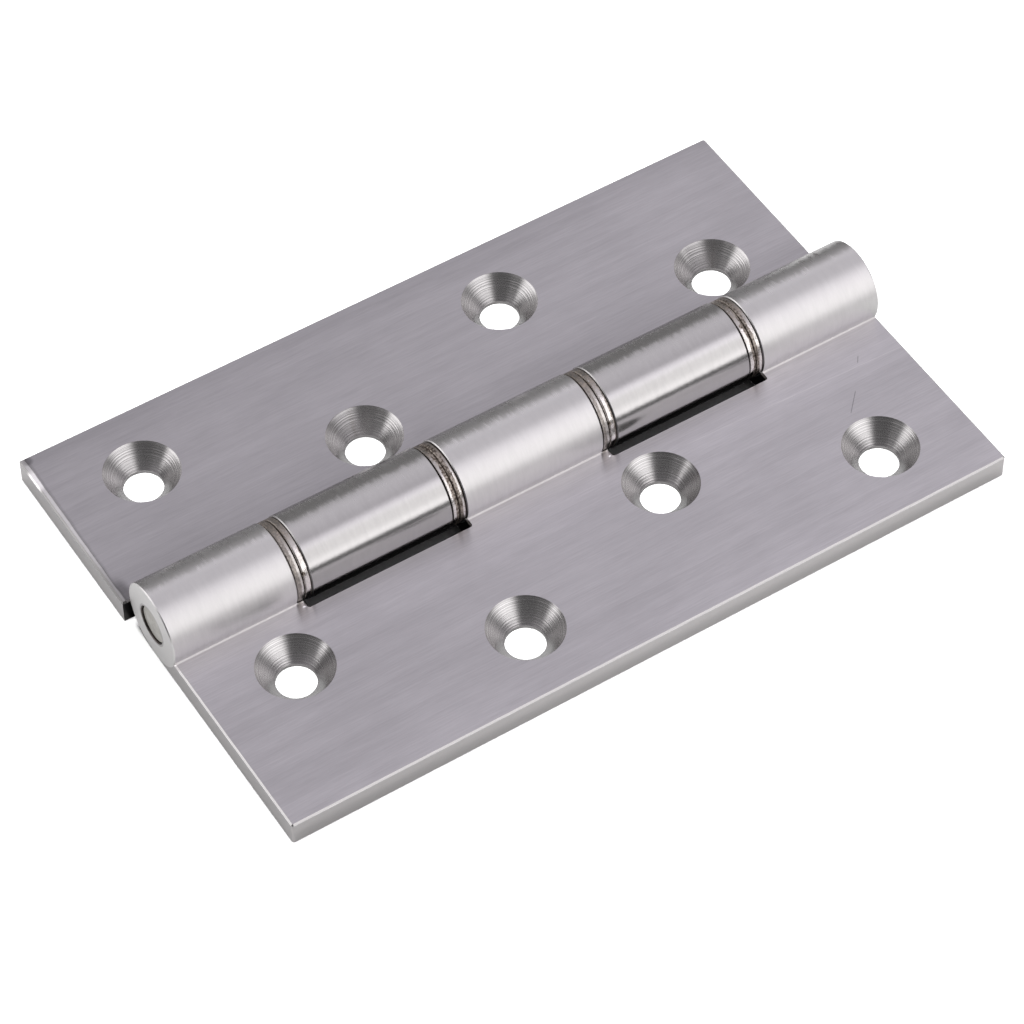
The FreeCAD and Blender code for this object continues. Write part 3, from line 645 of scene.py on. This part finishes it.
def washer_dirt(graph, surface, node, across, blotches, pits):
    """How much dirt lies here: in the stained band, in cracks, on top of the barrel and in single spots."""
    washer = WASHERS[node]
    start, stop = washer["stain"]
    placed = graph.math("ADD", across, centred(graph, blotches, 0.55))
    dirt = graph.times(graph.span(placed, start, stop, 0.06), washer["strength"])
    network = graph.noise(surface.place, (3.0, 1.6, 1.6), detail=3.0, rough=0.65, shift=(7.0, 0, 3.0))
    network = graph.math("ABSOLUTE", graph.math("SUBTRACT", network, 0.5))
    cracks = graph.soft_step(network, 0.004, 0.030, washer["cracks"], 0.0)
    dirt = graph.math("MAXIMUM", dirt, cracks)
    on_top = graph.soft_step(surface.y, -2.6, 0.0)
    top = graph.times(on_top, graph.soft_step(pits, 0.35, 0.60, 0.35, 0.95))
    dirt = graph.math("MAXIMUM", dirt, top)
    for along, angle in SPOTS.get(node, ()):
        dirt = graph.math("MAXIMUM", dirt, spot_mask(graph, surface, along, angle, blotches))
    return dirt


def washer_material(node):
    """Bronze ring, dull on top of the barrel, stained where dirt was rubbed in, with painted shade along
    its edges.
    """
    material, graph = new_material(node + "_bronze")
    surface = Surface(graph)
    washer = WASHERS[node]
    low, high = (corner.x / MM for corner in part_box(node))
    across = graph.math("DIVIDE", graph.math("SUBTRACT", surface.x, low), high - low)
    blotches = graph.noise(surface.place, (1.6, 0.9, 0.9), detail=4.0, rough=0.7, shift=(3.0, low, 0))
    pits = graph.noise(surface.place, (4.0, 3.0, 3.0), detail=3.0, rough=0.6, shift=(0, low, 2.0))

    dirt = washer_dirt(graph, surface, node, across, blotches, pits)
    clean = graph.math("SUBTRACT", washer["polish"], graph.times(dirt, 0.9), clamp=True)
    clean = graph.math("ADD", clean, centred(graph, blotches, -0.3), clamp=True)
    colour = graph.mix(clean, WASHER_DULL, WASHER_LIGHT)
    stain = graph.mix(graph.soft_step(pits, 0.42, 0.60), WASHER_DIRT, WASHER_STAIN)
    colour = graph.mix(dirt, colour, stain)
    # Painted shade along both edges, where the washer meets its neighbours.
    left, right = washer["edges"]
    painted_edge_shade = graph.math("MAXIMUM", graph.soft_step(across, left - 0.05, left + 0.03, 1.0, 0.0),
                           graph.soft_step(across, right - 0.04, right + 0.04))
    colour = graph.mix(graph.times(painted_edge_shade, 0.9), colour, DIRT_AND_SHADE_COLOUR)

    lean = graph.times(graph.math("SUBTRACT", across, 0.5), WASHER_CROWN)
    rounding = graph.soft_step(across, 0.05, washer["rounded_to"], -washer["rounded"], 0.0)
    lean = graph.math("ADD", lean, rounding)
    normal = sway(graph, surface.normal, (1.0, 0.0, 0.0), lean)
    normal = graph.turn(graph.vector("NORMALIZE", normal), "OBJECT", "WORLD", "NORMAL")
    roughness = graph.soft_step(clean, 0.1, 0.8, *WASHER_ROUGHNESS)
    graph.metal(colour, roughness, graph.bump(pits, 0.03, normal=normal))
    return material


def make_materials():
    paint("front_leaf", leaf_material("front_leaf"))
    paint("back_leaf", leaf_material("back_leaf"))
    paint("hinge_pin", pin_material())
    for node in WASHERS:
        paint(node, washer_material(node))


def direction_of(azimuth, elevation):
    azimuth = math.radians(azimuth)
    elevation = math.radians(elevation)
    return (math.sin(azimuth) * math.cos(elevation), math.cos(azimuth) * math.cos(elevation),
            math.sin(elevation))


# Stage: the card reaches this far beyond the hinge, the dark sheet stops this far inside it, and a
# patch of the card lies under each screw hole. Sheets lie one or more layers down. Each light's
# spread is how wide its source looks, in degrees.
FLOOR_SIZE = 3.0
CARD_MARGIN = 20 * MM
EDGE_MARGIN = 0.8 * MM
HOLE_CARD = 2.6 * MM
LAYER = 0.02 * MM
FLOOR_SHADE = 0.40
CARD_SHADE = 0.80
DARK_SHADE = 0.05
FLOOR_LIGHT = 12.0
FLOOR_SPREAD = 24
CARD_LIGHT = 7.4
CARD_SPREAD = 150


def make_sheet(name, patches, shade, seen_by_camera):
    """Flat matt patches under the hinge, part of the stage, seen by the camera or only reflected in the
    metal; each patch has its middle, its half length and width, and how many layers it lies down."""
    mesh = bpy.data.meshes.new(name)
    corners = []
    for (x, y), half_x, half_y, layer in patches:
        for along, aside in ((-1, -1), (1, -1), (1, 1), (-1, 1)):
            corners.append((x + along * half_x, y + aside * half_y, -layer * LAYER))
    mesh.from_pydata(corners, [], [range(first, first + 4) for first in range(0, len(corners), 4)])
    sheet = bpy.data.objects.new(name, mesh)
    bpy.context.scene.collection.objects.link(sheet)
    material, graph = new_material(name + "_paper")
    shader = graph.node("ShaderNodeBsdfDiffuse")
    fibres = graph.noise(graph.place(), (0.02, 0.02, 0.02), detail=4.0)
    level = graph.soft_step(fibres, 0.3, 0.7, 0.97 * shade, 1.03 * shade)
    graph.feed(shader.inputs["Color"], graph.join(level, level, level))
    output = graph.node("ShaderNodeOutputMaterial")
    graph.tree.links.new(shader.outputs[0], output.inputs["Surface"])
    mesh.materials.append(material)
    sheet.visible_shadow = False
    sheet.visible_camera = seen_by_camera
    sheet.visible_diffuse = seen_by_camera
    sheet.visible_glossy = not seen_by_camera
    return sheet


def light_sheet(sheet, energy, spread):
    """Light from straight above that falls on this sheet alone."""
    name = sheet.name
    data = bpy.data.lights.new(name + "_light", "SUN")
    data.energy = energy
    data.angle = math.radians(spread)
    light = bpy.data.objects.new(name + "_light", data)
    light.location = (0, 0, 1)
    bpy.context.scene.collection.objects.link(light)
    receivers = bpy.data.collections.new(name + "_lit")
    receivers.objects.link(sheet)
    light.light_linking.receiver_collection = receivers


def screw_holes():
    """Middle of each screw hole in millimetres, one of the back leaf and its twin in the front by turns."""
    for number in range(HOLES_IN_LEAF):
        x = FIRST_HOLE + HOLE_STEP * number
        y = HOLE_ROWS[number % len(HOLE_ROWS)]
        yield x, y
        yield -x, -y


def make_floor():
    """White floor for the camera; the metal reflects a white card round the hinge and through the screw
    holes, and dark elsewhere under it."""
    half = FLOOR_SIZE / 2
    near = cad_box[1] - Vector((EDGE_MARGIN, EDGE_MARGIN, 0))
    reach = cad_box[1] + Vector((CARD_MARGIN, CARD_MARGIN, 0))
    middle = (0.0, 0.0)
    floor = make_sheet("floor", [(middle, half, half, 1)], FLOOR_SHADE, True)
    make_sheet("shadow_under_hinge", [(middle, near.x, near.y, 2)], DARK_SHADE, False)
    patches = [(middle, reach.x, reach.y, 3)]
    patches += [((x * MM, y * MM), HOLE_CARD, HOLE_CARD, 1.5) for x, y in screw_holes()]
    card = make_sheet("card", patches, CARD_SHADE, False)
    light_sheet(floor, FLOOR_LIGHT, FLOOR_SPREAD)
    light_sheet(card, CARD_LIGHT, CARD_SPREAD)


# Studio: azimuths are counted from the back of the hinge (+Y) towards its right end (+X).
ROOM_LEVEL = 0.12
BACK_LEVEL = 0.24
ROOM_TINT = (1.0, 0.985, 0.990)
CEILING = {"azimuth": 70.0, "elevation": 66.0, "inner": 30.0, "outer": 50.0, "brightness": 0.55,
           "tint": (1.0, 0.970, 1.030)}
PANELS = (
    {"azimuths": (124.0, 182.0), "azimuth_blur": 14.0, "elevations": (4.0, 60.0), "blur_below": 3.0,
     "blur_above": 14.0, "brightness": 1.22},
    {"azimuths": (140.0, 184.0), "azimuth_blur": 10.0, "elevations": (5.0, 20.0), "blur_below": 3.0,
     "blur_above": 10.0, "brightness": 0.45},
    {"azimuths": (98.0, 128.0), "azimuth_blur": 8.0, "elevations": (0.0, 26.0), "blur_below": 3.0,
     "blur_above": 8.0, "brightness": 0.22},
    {"azimuths": (-40.0, -6.0), "azimuth_blur": 8.0, "elevations": (-4.0, 30.0), "blur_below": 3.0,
     "blur_above": 8.0, "brightness": 0.90},
    {"azimuths": (-80.0, -38.0), "azimuth_blur": 8.0, "elevations": (-3.0, 27.0), "blur_below": 5.0,
     "blur_above": 5.0, "brightness": 1.35},
    {"azimuths": (-110.0, -72.0), "azimuth_blur": 8.0, "elevations": (34.0, 58.0), "blur_below": 6.0,
     "blur_above": 8.0, "brightness": 0.75},
)


def make_room():
    """Dim room with a soft light high on the right and soft panels in front and on both sides."""
    world = bpy.data.worlds.new("studio")
    bpy.context.scene.world = world
    world.use_nodes = True
    graph = Graph(world.node_tree)
    direction = graph.node("ShaderNodeTexCoord").outputs["Generated"]
    x, y, z = graph.split(direction)
    towards = graph.vector("DOT_PRODUCT", direction, direction_of(CEILING["azimuth"], CEILING["elevation"]))
    inner = math.cos(math.radians(CEILING["inner"]))
    outer = math.cos(math.radians(CEILING["outer"]))
    level = graph.soft_step(y, -0.3, 0.5, ROOM_LEVEL, BACK_LEVEL)
    ceiling = graph.soft_step(towards, outer, inner)
    level = graph.math("ADD", level, graph.times(ceiling, CEILING["brightness"]))
    azimuth = graph.math("DEGREES", graph.math("ARCTAN2", x, y))
    azimuth = graph.math("WRAP", azimuth, -120.0, 240.0)
    elevation = graph.math("DEGREES", graph.math("ARCSINE", z))
    for panel in PANELS:
        sideways = graph.span(azimuth, *panel["azimuths"], panel["azimuth_blur"])
        low, high = panel["elevations"]
        below, above = panel["blur_below"], panel["blur_above"]
        rise = graph.soft_step(elevation, low - below, low + below)
        fall = graph.soft_step(elevation, high - above, high + above, 1.0, 0.0)
        level = graph.math("ADD", level, graph.times(sideways, rise, fall, panel["brightness"]))
    background = graph.node("ShaderNodeBackground")
    graph.feed(background.inputs["Color"], graph.mix(ceiling, (*ROOM_TINT, 1), (*CEILING["tint"], 1)))
    graph.feed(background.inputs["Strength"], level)
    output = graph.node("ShaderNodeOutputWorld")
    graph.tree.links.new(background.outputs[0], output.inputs["Surface"])


make_camera()
make_floor()
make_room()
make_materials()
bpy.context.scene.view_settings.view_transform = "Standard"
